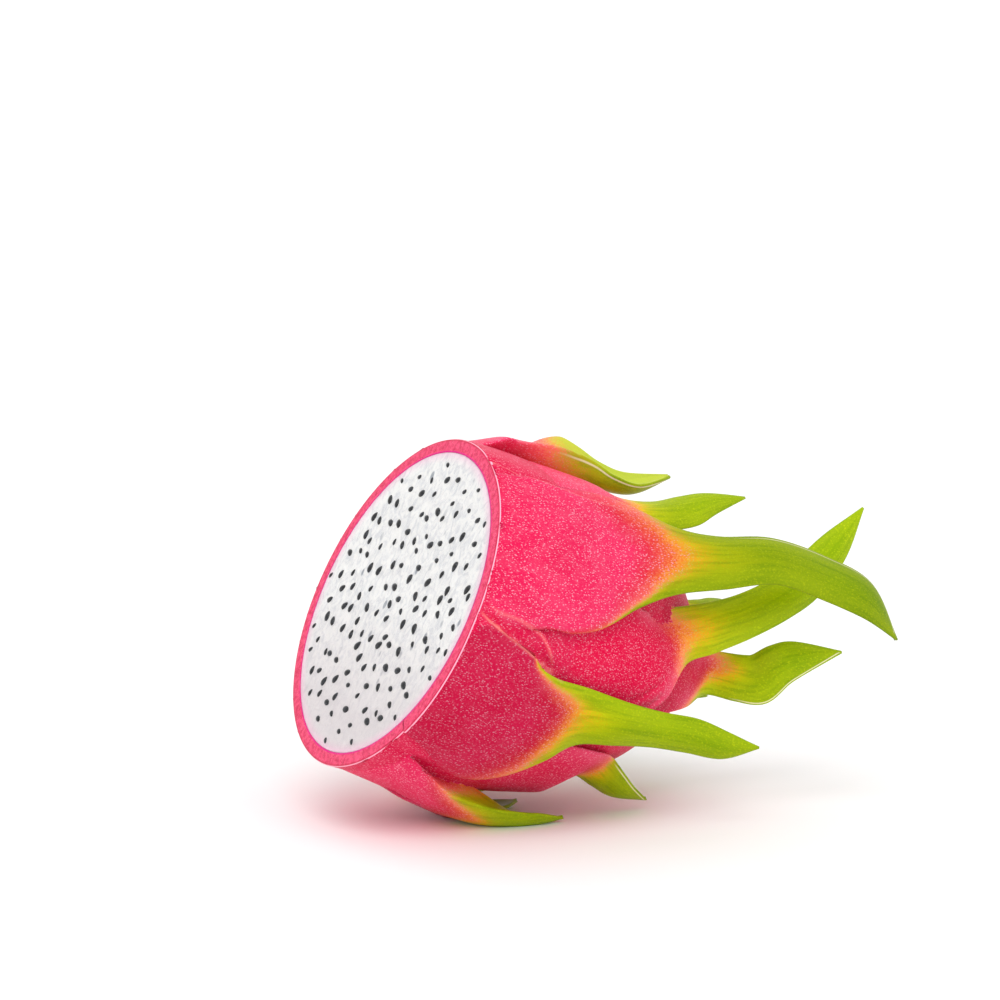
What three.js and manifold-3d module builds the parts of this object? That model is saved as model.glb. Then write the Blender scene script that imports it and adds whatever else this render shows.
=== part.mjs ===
// Half of a white-fleshed dragon fruit, cut across near its middle and lying on its side.
// Millimetres, +Z up, z = 0 is the surface that it lies on, and the zero point is the middle
// of the flattest spot underneath. +X runs level along the fruit, from the cut towards the
// flower end, and the cut face looks back along -X and upwards.
// Two pieces: the peel with all its scales, which is one growth, and the flesh with its seeds.
import * as THREE from 'three';
import { mergeVertices } from 'three/addons/utils/BufferGeometryUtils.js';
import Module from 'manifold-3d';

const degrees = Math.PI / 180;

// The fruit's own frame has its zero at the middle of the cut. A point there is
// [along, side, up]: along the fruit's axis, out to the side that shows the most scales (-Y),
// and up from the axis. An angle around the axis is 0 at the top, 90 at that side, 180 below.
const dip = 16 * degrees; // the flower end lies lower than the cut
const cutLean = 10.6 * degrees; // the knife went this far off square to the axis
const cutHeight = 57; // middle of the cut above the surface
const cutBack = 23.2; // middle of the cut behind the spot that it rests on, along -X

const body = { equator: 44.5, equatorAlong: 10, flowerEnd: 85.5, stemReach: 120, stemEnd: -18 };
const peelThickness = 3.7; // as seen on the rim of the cut
const gap = 0.3; // between the flesh and the peel
const bodySides = 40;
const bodyRings = 13;

// Each scale is a fleshy sheet: its root is sunk in the peel, its lap lies over the body,
// and from the neck on it is a free blade. A lap station is [along, around, height over the
// body, width] and a blade station [along, side, up, width]. cup is how far the blade's two
// edges bend in towards the fruit (or away, below zero), and twist turns it about its line,
// between the two shares of the lap's length named after it. radii are of the lap's bend, and
// thickness is the sheet's at its middle, where either differs from the usual.
const shapedScales = {
  upperFront: {
    lap: [[-8, 55, -0.9, 40], [12, 58, 0.9, 44], [28, 57, 2.6, 42.5], [43, 50.5, 5.3, 34]], cup: 34,
    radii: [41, 44, 47, 48],
    blade: [[56, 38.2, 29.7, 21.6], [67, 41.6, 31.9, 17.4], [81, 44, 35.4, 15.5], [97, 45, 34.2, 15.5],
      [110, 47, 31, 13.8], [121, 46, 22, 0.8]],
  },
  lowerFront: {
    lap: [[-10, 104, 0.4, 37], [7, 112.5, 1.7, 37], [17.5, 119, 3, 41], [28.5, 113, 5, 25.5]], cup: 36,
    radii: [44, 46, 47, 48],
    blade: [[39, 43, -16.3, 17], [49, 44.5, -15.9, 13.8], [60, 43.5, -15.2, 11.4], [70, 44, -14.7, 11],
      [79, 46, -15, 8.5], [87, 48, -13, 0.8]],
  },
  underFront: {
    lap: [[-14, 166, -1.3, 38], [-2, 168, 0.3, 40], [10, 167, 2.6, 34], [20, 164, 6, 25]], cup: 50,
    blade: [[30, 17, -49.2, 17], [39, 19, -48.2, 13], [46, 20, -46.1, 9.5], [52, 21, -43.3, 0.8]],
  },
  crest: {
    lap: [[-4, 336, -1.5, 38], [11, 336, 0.4, 38], [22, 336, 4.4, 34], [32, 337, 8.6, 31]], cup: -66,
    twist: 25, twistFrom: 0.5, twistTo: 1.1, thickness: [4.5, 5, 8, 10, 7, 3.4, 1.8, 1.0],
    blade: [[41, -14, 47.8, 22], [50, -14, 45.2, 16], [58, -14, 43.3, 13.5], [67, -14, 43.2, 11],
      [78, -15, 48.8, 0.8]],
  },
  topSecond: {
    lap: [[4, 12, -1.5, 30], [22, 13, -0.3, 34], [36, 16, 0.9, 30], [46, 20, 2.2, 22]], cup: 30,
    twist: 40, twistFrom: 0.8, twistTo: 2.25,
    blade: [[53, 14, 38, 15], [61, 15, 39.2, 12.5], [69, 15, 42, 11.5], [76, 14, 45, 7.5],
      [86.5, 12, 48, 0.8]],
  },
  middleFront: {
    lap: [[18, 90, -1.5, 34], [34, 89, 0.5, 36], [47, 89, 1.8, 34], [58, 85, 3, 25]], cup: 34,
    blade: [[66, 31, 9.5, 16.5], [75, 31, 13.5, 14.5], [85, 30, 18.5, 13], [94, 30, 25, 12.5],
      [102, 28, 32, 12.5], [109, 26, 42, 9.5], [115, 24, 53, 0.8]],
  },
  underSecond: {
    lap: [[10, 148, -1.5, 32], [26, 146, 0.1, 30], [39, 143, 0.9, 27], [49, 141, 2.4, 21]], cup: 38,
    blade: [[57, 20, -30, 14.5], [63, 19, -32.6, 12], [69, 18, -34.6, 9], [77.5, 16, -34.6, 0.8]],
  },
  belly: {
    lap: [[-12, 196, -1.5, 30], [1, 194, -0.2, 32], [11, 190, 1.8, 30], [20, 185, 4.8, 24]], cup: 34,
    blade: [[28, 1, -50.8, 19], [34, 0, -50, 16], [40, -1, -48.4, 13], [46, -2, -46.2, 9],
      [51, -3, -43.6, 0.8]],
  },
  underFar: {
    lap: [[-12, 222, -1.5, 40], [4, 221, 0.5, 42], [17, 218, 2.6, 38], [28, 215, 5, 28]], cup: 36,
    blade: [[38, -28, -42.5, 19], [45, -27, -45, 15], [52, -27, -44.7, 12], [59, -28, -41.8, 9],
      [65, -29, -38, 0.8]],
  },
  tipFront: {
    lap: [[50, 94, -1.2, 24], [61, 93, 1.2, 23], [70, 91, 2.8, 20], [77, 90, 4.4, 16.5]], cup: 34,
    blade: [[85, 19, 1.6, 12.5], [92, 22, 2, 13.4], [97, 24, 3, 14.5], [101, 26, 8, 12.5], [106, 27, 11, 10],
      [117, 28, 15, 0.8]],
  },
};

// The scales on the far side and underneath, which follow the same whorls. root is where the
// root starts along and around, neck how far along the blade leaves the body and how high,
// reach the blade's length, flare and curl how it leaves the body and bends back, in degrees
// and millimetres, and sweep how far it turns around the fruit. widths are of root, neck, blade.
const farScales = {
  farLower: { root: [-6, 262], neck: [46, 6], reach: 58, flare: 22,
    curl: 16, sweep: -8, widths: [42, 17, 13] },
  farUpper: { root: [-2, 304], neck: [44, 6], reach: 46, flare: 16,
    curl: 10, sweep: -8, widths: [42, 16, 12] },
  farSecondLow: { root: [18, 236], neck: [64, 4], reach: 40, flare: 14,
    curl: 6, sweep: 12, widths: [38, 14, 11] },
  farSecondHigh: { root: [16, 284], neck: [62, 4], reach: 44, flare: 16,
    curl: 10, sweep: -6, widths: [38, 15, 12] },
  farSecondTop: { root: [18, 332], neck: [62, 3], reach: 26, flare: 2,
    curl: 3, sweep: -14, widths: [36, 14, 10] },
  tipUnder: { root: [52, 196], neck: [78, 2], reach: 20, flare: 6,
    curl: 2, sweep: 14, widths: [26, 12, 9] },
  tipFar: { root: [54, 262], neck: [80, 2], reach: 30, flare: 12,
    curl: 4, sweep: -10, widths: [26, 13, 10] },
  tipTop: { root: [50, 42], neck: [78, 2], reach: 18, flare: 8,
    curl: 2, sweep: -18, widths: [32, 12, 9] },
};

const scaleThickness = [4.5, 4.4, 4.2, 3.8, 3, 2.2, 1.6, 1.0]; // at its middle, from root to tip
const edgeThickness = 0.8;
const tipWidth = 0.8;
const lapRadii = [34, 37, 43, 48]; // bend of a lap round the body, opening from its root on
const farLap = { shares: [0, 0.33, 0.63, 0.86], sunk: 1.5, rising: 1.5 }; // stations of a far lap
const farCup = 36;
const straightened = 0.11; // share of a scale's length that each section takes its direction from
const scaleSteps = 14;
const scaleStrips = 4;

const seeds = {
  count: 150, length: 2.3, width: 1.5, rise: 0.55, sunk: 0.8, sides: 5, clearOfPeel: 2.4,
  astray: 3.2, turned: 2, // how far each is pushed off its place in the spiral, in mm and radians
  pointed: 0.3, foot: 0.9, top: 0.45, // shares of its length and width
};

// Radius of the body at a place along its axis.
function bodyRadius(along) {
  const past = along - body.equatorAlong;
  const share = past / (past > 0 ? body.flowerEnd - body.equatorAlong : body.stemReach);
  return body.equator * Math.sqrt(Math.max(0, 1 - share * share));
}

function fruitPoint(along, side, up) {
  return new THREE.Vector3(along, -side, up);
}

function aroundAxis(along, radius, around) {
  return fruitPoint(along, radius * Math.sin(around * degrees), radius * Math.cos(around * degrees));
}

// Smooth value at share t (0 to 1) through evenly spaced values.
function through(values, t) {
  const last = values.length - 1;
  const place = Math.min(Math.max(t, 0), 1) * last;
  const i = Math.min(Math.floor(place), last - 1);
  const s = place - i;
  const [b, c] = [values[i], values[i + 1]];
  const a = i > 0 ? values[i - 1] : 2 * b - c;
  const d = i + 2 <= last ? values[i + 2] : 2 * c - b;
  return b + 0.5 * s * (c - a + s * (2 * a - 5 * b + 4 * c - d + s * (3 * (b - c) + d - a)));
}

// A far scale's stations, worked out from its few values.
function farScale({ root: [along, around], neck: [neckAlong, rise], reach, flare, curl, sweep, widths }) {
  const [root, neck, free] = widths;
  const lapWidths = [0.95 * root, root, 0.9 * root, 0.45 * root + 0.5 * neck];
  const lap = farLap.shares.map((t, i) => {
    const height = rise * t ** farLap.rising - farLap.sunk * (1 - t) ** 2;
    return [along + (neckAlong - along) * t, around, height, lapWidths[i]];
  });
  const bladeWidths = [neck, free, free, 0.75 * free, tipWidth];
  const blade = bladeWidths.map((width, i) => {
    const s = i / (bladeWidths.length - 1);
    const out = bodyRadius(neckAlong) + rise + reach * s * Math.sin(flare * degrees) - curl * s * s;
    const turn = (around + sweep * s) * degrees;
    const onward = reach * s * Math.cos(flare * degrees);
    return [neckAlong + onward, out * Math.sin(turn), out * Math.cos(turn), width];
  });
  return { lap, blade, cup: farCup };
}

// The stations of a scale from root to tip: place, directions, width, bend and thickness.
function scaleStations({
  lap, blade, cup, twist = 0, twistFrom = 0, twistTo = 1, radii = lapRadii, thickness = scaleThickness,
}) {
  const line = [
    ...lap.map(([along, around, height]) => aroundAxis(along, bodyRadius(along) + height, around)),
    ...blade.map(([along, side, up]) => fruitPoint(along, side, up))];
  const widths = [...lap, ...blade].map((station) => station[3]);
  const lapBends = lap.map(([, , , width], i) => width / 2 / radii[i] / degrees);
  const bends = [...lapBends, ...blade.map((_, i) => (i ? cup : (lapBends[3] + cup) / 2))];
  const axes = [0, 1, 2].map((n) => line.map((p) => p.getComponent(n)));
  const at = (t) => new THREE.Vector3(...axes.map((values) => through(values, t)));
  const neckShare = lap.length / (line.length - 1);
  const stations = [];
  let out;
  for (let i = 0; i <= scaleSteps; i++) {
    const t = i / scaleSteps;
    const place = at(t);
    const ahead = at(Math.min(t + straightened, 1)).sub(at(Math.max(t - straightened, 0))).normalize();
    if (t <= neckShare) out = new THREE.Vector3(0, place.y, place.z).normalize();
    out = out.clone().addScaledVector(ahead, -out.dot(ahead)).normalize();
    const grown = t / neckShare;
    const turn = Math.min(Math.max(0, grown - twistFrom) / (twistTo - twistFrom), 1) * twist * degrees;
    stations.push({
      place,
      out: out.clone().applyAxisAngle(ahead, turn),
      across: new THREE.Vector3().crossVectors(ahead, out).applyAxisAngle(ahead, turn),
      halfWidth: Math.max(through(widths, t), tipWidth) / 2,
      bend: through(bends, t) * degrees,
      thickness: through(thickness, t),
    });
  }
  return stations;
}

// The outline of a scale at one station: over its outer face and back under it.
function scaleSection({ place, out, across, halfWidth, bend, thickness }) {
  const outer = [];
  const inner = [];
  for (let k = 0; k <= scaleStrips; k++) {
    const v = 2 * k / scaleStrips - 1;
    const radius = halfWidth / bend;
    const turn = v * bend;
    const facing = out.clone().multiplyScalar(Math.cos(turn)).addScaledVector(across, Math.sin(turn));
    const point = place.clone()
      .addScaledVector(across, radius * Math.sin(turn))
      .addScaledVector(out, -radius * (1 - Math.cos(turn)));
    const depth = edgeThickness + (thickness - edgeThickness) * (1 - v * v);
    outer.push(point);
    inner.unshift(point.clone().addScaledVector(facing, -depth));
  }
  return [...outer, ...inner];
}

// A closed geometry through rings of points, each ring closed, with flat ends.
function skin(rings) {
  const count = rings[0].length;
  const positions = rings.flat().flatMap((p) => [p.x, p.y, p.z]);
  const faces = [];
  for (let i = 0; i + 1 < rings.length; i++) {
    for (let k = 0; k < count; k++) {
      const next = (k + 1) % count;
      const [a, b] = [i * count + k, i * count + next];
      faces.push(a, b, b + count, a, b + count, a + count);
    }
  }
  [0, rings.length - 1].forEach((ring, end) => {
    const middle = rings[ring].reduce((sum, p) => sum.add(p), new THREE.Vector3()).divideScalar(count);
    const hub = positions.length / 3;
    positions.push(middle.x, middle.y, middle.z);
    for (let k = 0; k < count; k++) {
      const pair = [ring * count + k, ring * count + (k + 1) % count];
      faces.push(hub, ...(end ? pair : pair.reverse()));
    }
  });
  const geometry = new THREE.BufferGeometry();
  geometry.setAttribute('position', new THREE.Float32BufferAttribute(positions, 3));
  geometry.setIndex(faces);
  return geometry;
}

// The body of the fruit, inset from its skin and closed at both ends.
function bodyGeometry(inset) {
  const { stemEnd } = body;
  const flowerEnd = body.flowerEnd - inset;
  const points = [new THREE.Vector2(0, stemEnd)];
  for (let i = 0; i <= bodyRings; i++) {
    const turn = Math.PI / 2 * i / bodyRings;
    const along = stemEnd + (flowerEnd - stemEnd) * Math.sin(turn);
    const shrunk = body.equatorAlong + (along - body.equatorAlong)
      * (along > body.equatorAlong ? (body.flowerEnd - body.equatorAlong) / (flowerEnd - body.equatorAlong) : 1);
    const radius = bodyRadius(shrunk) * (body.equator - inset) / body.equator;
    points.push(new THREE.Vector2(i === bodyRings ? 0 : radius, along));
  }
  return new THREE.LatheGeometry(points, bodySides).rotateZ(-Math.PI / 2);
}

// A block that fills everything in front of the cut.
function cutBlock() {
  const size = 200;
  const block = new THREE.BoxGeometry(size, size, size).translate(-size / 2, 0, 0);
  return block.rotateY(cutLean);
}

// A repeatable draw from 0 to 1.
function draw(seed) {
  const [step, start, stretch] = [127.1, 311.7, 43758.5453];
  const value = Math.sin(seed * step + start) * stretch;
  return value - Math.floor(value);
}

// One seed: a drop with a pointed end, flat cut under the surface of the flesh.
function seedGeometry() {
  const { length, width, rise, sunk, sides, pointed, foot, top } = seeds;
  const ring = (height, share) => Array.from({ length: sides }, (_, k) => {
    const turn = 2 * Math.PI * k / sides;
    const narrow = 1 - pointed * Math.cos(turn);
    return new THREE.Vector3(
      length / 2 * share * Math.cos(turn), width / 2 * share * narrow * Math.sin(turn), height);
  });
  return skin([ring(-sunk, foot), ring(0.1 * rise, 1), ring(rise, top)]);
}

const weld = 1e-4; // points nearer than this are one point
const wasm = await Module();
wasm.setup();

function solid(geometry) {
  const bare = geometry.clone();
  bare.deleteAttribute('normal');
  bare.deleteAttribute('uv');
  const merged = mergeVertices(bare, weld);
  return new wasm.Manifold(new wasm.Mesh({
    numProp: 3,
    vertProperties: new Float32Array(merged.attributes.position.array),
    triVerts: new Uint32Array(merged.index.array),
  }));
}

function meshOf(made, name, material) {
  const { vertProperties, triVerts } = made.getMesh();
  const geometry = new THREE.BufferGeometry();
  geometry.setAttribute('position', new THREE.Float32BufferAttribute(vertProperties, 3));
  geometry.setIndex(new THREE.Uint32BufferAttribute(triVerts, 1));
  geometry.computeVertexNormals();
  const mesh = new THREE.Mesh(geometry, material);
  mesh.name = name;
  return mesh;
}

// The whole part hangs in one group, turned and set down as the half lies.
const fruit = new THREE.Group();
fruit.rotation.y = dip;
fruit.position.set(-cutBack, 0, cutHeight);
fruit.updateMatrix();

// A block that fills everything under the surface, in the fruit's own frame.
function groundBlock() {
  const size = 400;
  const block = new THREE.BoxGeometry(size, size, size).translate(0, 0, -size / 2);
  return block.applyMatrix4(fruit.matrix.clone().invert());
}

function makePeel() {
  let peel = solid(bodyGeometry(0));
  for (const scale of [...Object.values(shapedScales), ...Object.values(farScales).map(farScale)]) {
    peel = peel.add(solid(skin(scaleStations(scale).map(scaleSection))));
  }
  return peel.subtract(solid(cutBlock())).subtract(solid(groundBlock()))
    .subtract(solid(bodyGeometry(peelThickness)));
}

// Seeds stand in a sunflower spiral over the cut face, each pushed a little off its place.
function makeFlesh() {
  const faceRadius = body.equator - peelThickness - seeds.clearOfPeel;
  const goldenTurn = 137.508 * degrees;
  let flesh = solid(bodyGeometry(peelThickness + gap)).subtract(solid(cutBlock()));
  for (let i = 0; i < seeds.count; i++) {
    const radius = faceRadius * Math.sqrt((i + 0.5) / seeds.count);
    const turn = i * goldenTurn;
    const seed = seedGeometry()
      .rotateZ(turn + (draw(i) - 0.5) * seeds.turned)
      .rotateY(-Math.PI / 2)
      .translate(0,
        radius * Math.cos(turn) + (draw(i + 500) - 0.5) * seeds.astray,
        radius * Math.sin(turn) + (draw(i + 900) - 0.5) * seeds.astray)
      .rotateY(cutLean);
    flesh = flesh.add(solid(seed));
  }
  return flesh;
}

const peelSkin = new THREE.MeshStandardMaterial({ color: 0xd42a60, roughness: 0.42, metalness: 0 });
const whiteFlesh = new THREE.MeshStandardMaterial({ color: 0xe9ebe8, roughness: 0.35, metalness: 0 });

fruit.add(meshOf(makePeel(), 'peel', peelSkin));
fruit.add(meshOf(makeFlesh(), 'flesh', whiteFlesh));

const part = new THREE.Group();
part.add(fruit);

export default part;
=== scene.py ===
from math import atan2, cos, degrees, hypot, pi, radians, sin, sqrt
import bmesh
import bpy
import numpy as np
from mathutils import Matrix, Vector
from mathutils.bvhtree import BVHTree


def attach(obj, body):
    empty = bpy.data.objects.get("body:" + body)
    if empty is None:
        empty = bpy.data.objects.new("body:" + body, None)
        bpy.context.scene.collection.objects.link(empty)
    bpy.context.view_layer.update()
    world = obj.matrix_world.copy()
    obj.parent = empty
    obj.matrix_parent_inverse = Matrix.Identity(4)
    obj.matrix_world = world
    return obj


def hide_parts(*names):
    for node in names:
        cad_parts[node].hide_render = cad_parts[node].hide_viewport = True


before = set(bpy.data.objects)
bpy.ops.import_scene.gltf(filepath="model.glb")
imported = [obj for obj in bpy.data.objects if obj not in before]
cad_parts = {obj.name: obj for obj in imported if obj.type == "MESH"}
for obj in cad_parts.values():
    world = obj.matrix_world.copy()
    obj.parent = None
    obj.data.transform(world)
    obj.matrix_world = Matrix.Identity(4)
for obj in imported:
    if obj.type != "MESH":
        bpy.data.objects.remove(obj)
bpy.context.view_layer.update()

# Sizes are in millimetres in this script, and meshes are scaled to metres when they are made.
mm = 0.001

# How the half lies: the fruit's own frame has its zero at the middle of the cut, and a point
# there is [along, side, up]. Angles around the axis are 0 at the top and 90 on the near side.
lie = dict(dip=radians(16), cutLean=radians(10.6), cutHeight=57, cutBack=23.2)
body = dict(equator=44.5, equatorAlong=10, flowerEnd=85.5, stemReach=120, stemEnd=-18, peel=3.7)
alongAxis = np.array([cos(lie["dip"]), 0, -sin(lie["dip"])])
upAxis = np.array([sin(lie["dip"]), 0, cos(lie["dip"])])
sideAxis = np.array([0, -1.0, 0])
cutMiddle = np.array([-lie["cutBack"], 0, lie["cutHeight"]])
cutNormal = -cos(lie["cutLean"]) * alongAxis + sin(lie["cutLean"]) * upAxis
faceSide = np.array([0, 1.0, 0])
faceRise = np.cross(faceSide, cutNormal)


# The camera of the photograph: it looks along +Y turned by azimuth, a little downwards.
def makeCamera():
    view = dict(azimuth=radians(27), elevation=radians(8), distance=1100, lens=155.6, right=27.2, above=26)
    right = Vector((cos(view["azimuth"]), -sin(view["azimuth"]), 0))
    ahead = Vector((sin(view["azimuth"]) * cos(view["elevation"]),
                    cos(view["azimuth"]) * cos(view["elevation"]), -sin(view["elevation"])))
    above = right.cross(ahead)
    place = Vector(cutMiddle) + view["right"] * right + view["above"] * above - view["distance"] * ahead
    data = bpy.data.cameras.new("camera")
    data.lens = view["lens"]
    data.sensor_width = 36
    camera = bpy.data.objects.new("camera", data)
    turn = Matrix((right, above, -ahead)).transposed().to_4x4()
    camera.matrix_world = Matrix.Translation(place * mm) @ turn
    bpy.context.scene.collection.objects.link(camera)
    bpy.context.scene.camera = camera


makeCamera()

# A lap station is [along, around, height over the body, width] and a blade station
# [along, side, up, width]. cup bends the blade's edges in towards the fruit, in degrees, twist
# turns it, from twistFrom to twistTo times the way to the neck, radii say how round the lap is
# at each of its stations, and thickness is that of the middle from root to tip.
shapedScales = dict(
    upperFront=dict(
        lap=[[-8, 55, -0.9, 40], [12, 58, 0.9, 44], [28, 57, 2.6, 42.5], [43, 50.5, 5.3, 34]],
        cup=34, radii=[41, 44, 47, 48],
        blade=[[56, 38.2, 29.7, 21.6], [67, 41.6, 31.9, 17.4], [81, 44, 35.4, 15.5], [97, 45, 34.2, 15.5],
               [110, 47, 31, 13.8], [121, 46, 22, 0.8]]),
    lowerFront=dict(
        lap=[[-10, 104, 0.4, 37], [7, 112.5, 1.7, 37], [17.5, 119, 3, 41], [28.5, 113, 5, 25.5]],
        cup=36, radii=[44, 46, 47, 48],
        blade=[[39, 43, -16.3, 17], [49, 44.5, -15.9, 13.8], [60, 43.5, -15.2, 11.4], [70, 44, -14.7, 11],
               [79, 46, -15, 8.5], [87, 48, -13, 0.8]]),
    underFront=dict(
        lap=[[-14, 166, -1.3, 38], [-2, 168, 0.3, 40], [10, 167, 2.6, 34], [20, 164, 6, 25]],
        cup=50, thickness=[4.5, 5, 7, 9.5, 8, 4, 1.9, 1.0],
        blade=[[30, 17, -49.2, 17], [39, 19, -48.2, 13], [46, 20, -46.1, 9.5], [52, 21, -43.3, 0.8]]),
    crest=dict(
        lap=[[-4, 336, -1.5, 38], [11, 336, 0.4, 38], [22, 336, 4.4, 34], [32, 337, 8.6, 31]],
        cup=-66, twist=25, twistFrom=0.5, twistTo=1.1, thickness=[4.5, 5, 8, 10, 7, 3.4, 1.8, 1.0],
        blade=[[41, -14, 47.8, 22], [50, -14, 45.2, 16], [58, -14, 43.3, 13.5], [67, -14, 43.2, 11],
               [78, -15, 48.8, 0.8]]),
    topSecond=dict(
        lap=[[4, 12, -1.5, 30], [22, 13, -0.3, 34], [36, 16, 0.9, 30], [46, 20, 2.2, 22]],
        cup=30, twist=40,
        blade=[[53, 14, 38, 15], [61, 15, 39.2, 12.5], [69, 15, 42, 11.5], [76, 14, 45, 7.5],
               [86.5, 12, 48, 0.8]]),
    middleFront=dict(
        lap=[[18, 90, -1.5, 34], [34, 89, 0.5, 36], [47, 89, 1.8, 34], [58, 85, 3, 25]],
        cup=34,
        blade=[[66, 31, 9.5, 16.5], [75, 31, 13.5, 14.5], [85, 30, 18.5, 13], [94, 30, 25, 12.5],
               [102, 28, 32, 12.5], [109, 26, 42, 9.5], [115, 24, 53, 0.8]]),
    underSecond=dict(
        lap=[[10, 148, -1.5, 32], [26, 146, 0.1, 30], [39, 143, 0.9, 27], [49, 141, 2.4, 21]],
        cup=38,
        blade=[[57, 20, -30, 14.5], [63, 19, -32.6, 12], [69, 18, -34.6, 9], [77.5, 16, -34.6, 0.8]]),
    belly=dict(
        lap=[[-12, 196, -1.5, 30], [1, 194, -0.2, 32], [11, 190, 1.8, 30], [20, 185, 4.8, 24]],
        cup=34,
        blade=[[28, 1, -50.8, 19], [34, 0, -50, 16], [40, -1, -48.4, 13], [46, -2, -46.2, 9],
               [51, -3, -43.6, 0.8]]),
    underFar=dict(
        lap=[[-12, 222, -1.5, 40], [4, 221, 0.5, 42], [17, 218, 2.6, 38], [28, 215, 5, 28]],
        cup=36,
        blade=[[38, -28, -42.5, 19], [45, -27, -45, 15], [52, -27, -44.7, 12], [59, -28, -41.8, 9],
               [65, -29, -38, 0.8]]),
    tipFront=dict(
        lap=[[50, 94, -1.2, 24], [61, 93, 1.2, 23], [70, 91, 2.8, 20], [77, 90, 4.4, 16.5]],
        cup=34,
        blade=[[85, 19, 1.6, 12.5], [92, 22, 2, 13.4], [97, 24, 3, 14.5], [101, 26, 8, 12.5],
               [106, 27, 11, 10], [117, 28, 15, 0.8]]),
)

# The scales on the far side, each worked out from a few values: where it is rooted [along,
# around], where its neck is [along, height], how far the blade reaches past it, how it leans out
# and sweeps round in degrees, how far the tip curls in, and three widths.
farScales = dict(
    farLower=([-6, 262], [46, 6], 58, 22, 16, -8, [42, 17, 13]),
    farUpper=([-2, 304], [44, 6], 46, 16, 10, -8, [42, 16, 12]),
    farSecondLow=([18, 236], [64, 4], 40, 14, 6, 12, [38, 14, 11]),
    farSecondHigh=([16, 284], [62, 4], 44, 16, 10, -6, [38, 15, 12]),
    farSecondTop=([18, 332], [62, 3], 26, 2, 3, -14, [36, 14, 10]),
    tipUnder=([52, 196], [78, 2], 20, 6, 2, 14, [26, 12, 9]),
    tipFar=([54, 262], [80, 2], 30, 12, 4, -10, [26, 13, 10]),
    tipTop=([50, 42], [78, 2], 18, 8, 2, -18, [32, 12, 9]),
)
# What the far scales share: places and widths along lap and blade, and how deep the root sinks.
farForm = dict(lapShares=[0, 0.33, 0.63, 0.86], bladeShares=[0, 0.25, 0.5, 0.75, 1], rootShare=0.95,
               lowShare=0.9, endShare=0.45, tipShare=0.75, sunk=1.5, rising=1.5, cup=36)

# What all scales share. The edge is as thick as edge says and rounded over the last of the width.
sheet = dict(thickness=[4.5, 4.4, 4.2, 3.8, 3, 2.2, 1.6, 1.0], edge=0.8, lapRadii=[34, 37, 43, 48],
             steps=72, strips=22, aim=0.11, tipWidth=0.8, flat=0.94)


# A fruit-frame point or array of points as row-frame millimetres.
def fromFruit(along, side, up):
    along, side, up = (np.asarray(v, dtype=float)[..., None] for v in (along, side, up))
    return cutMiddle + along * alongAxis + side * sideAxis + up * upAxis


def bodyRadius(along):
    past = np.asarray(along, dtype=float) - body["equatorAlong"]
    share = np.where(past > 0, past / (body["flowerEnd"] - body["equatorAlong"]), past / body["stemReach"])
    return body["equator"] * np.sqrt(np.clip(1 - share * share, 0, None))


# Smooth values at shares t (0 to 1) through evenly spaced rows of values.
def through(values, t):
    values = np.asarray(values, dtype=float)
    last = len(values) - 1
    place = np.clip(np.asarray(t, dtype=float), 0, 1) * last
    i = np.minimum(place.astype(int), last - 1)
    padded = np.concatenate([[2 * values[0] - values[1]], values, [2 * values[-1] - values[-2]]])
    a, b, c, d = padded[i], padded[i + 1], padded[i + 2], padded[i + 3]
    s = (place - i).reshape((-1,) + (1,) * (values.ndim - 1))
    return b + 0.5 * s * (c - a + s * (2 * a - 5 * b + 4 * c - d + s * (3 * (b - c) + d - a)))


def farScale(root, neck, reach, leaning, curl, sweep, widths):
    wide, narrow, blade = widths
    lapWidths = [farForm["rootShare"] * wide, wide, farForm["lowShare"] * wide,
                 farForm["endShare"] * wide + 0.5 * narrow]
    bladeWidths = [narrow, blade, blade, farForm["tipShare"] * blade, sheet["tipWidth"]]
    lap, stations = [], []
    for t, width in zip(farForm["lapShares"], lapWidths):
        height = neck[1] * t ** farForm["rising"] - farForm["sunk"] * (1 - t) ** 2
        lap.append([root[0] + (neck[0] - root[0]) * t, root[1], height, width])
    for s, width in zip(farForm["bladeShares"], bladeWidths):
        out = float(bodyRadius(neck[0])) + neck[1] + reach * s * sin(radians(leaning)) - curl * s * s
        turn = radians(root[1] + sweep * s)
        along = neck[0] + reach * s * cos(radians(leaning))
        stations.append([along, out * sin(turn), out * cos(turn), width])
    return dict(lap=lap, blade=stations, cup=farForm["cup"])


def unit(v):
    return v / np.linalg.norm(v)


# Turns v about the unit axis by an angle.
def turned(v, axis, angle):
    return v * cos(angle) + np.cross(axis, v) * sin(angle) + axis * np.dot(axis, v) * (1 - cos(angle))


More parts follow.
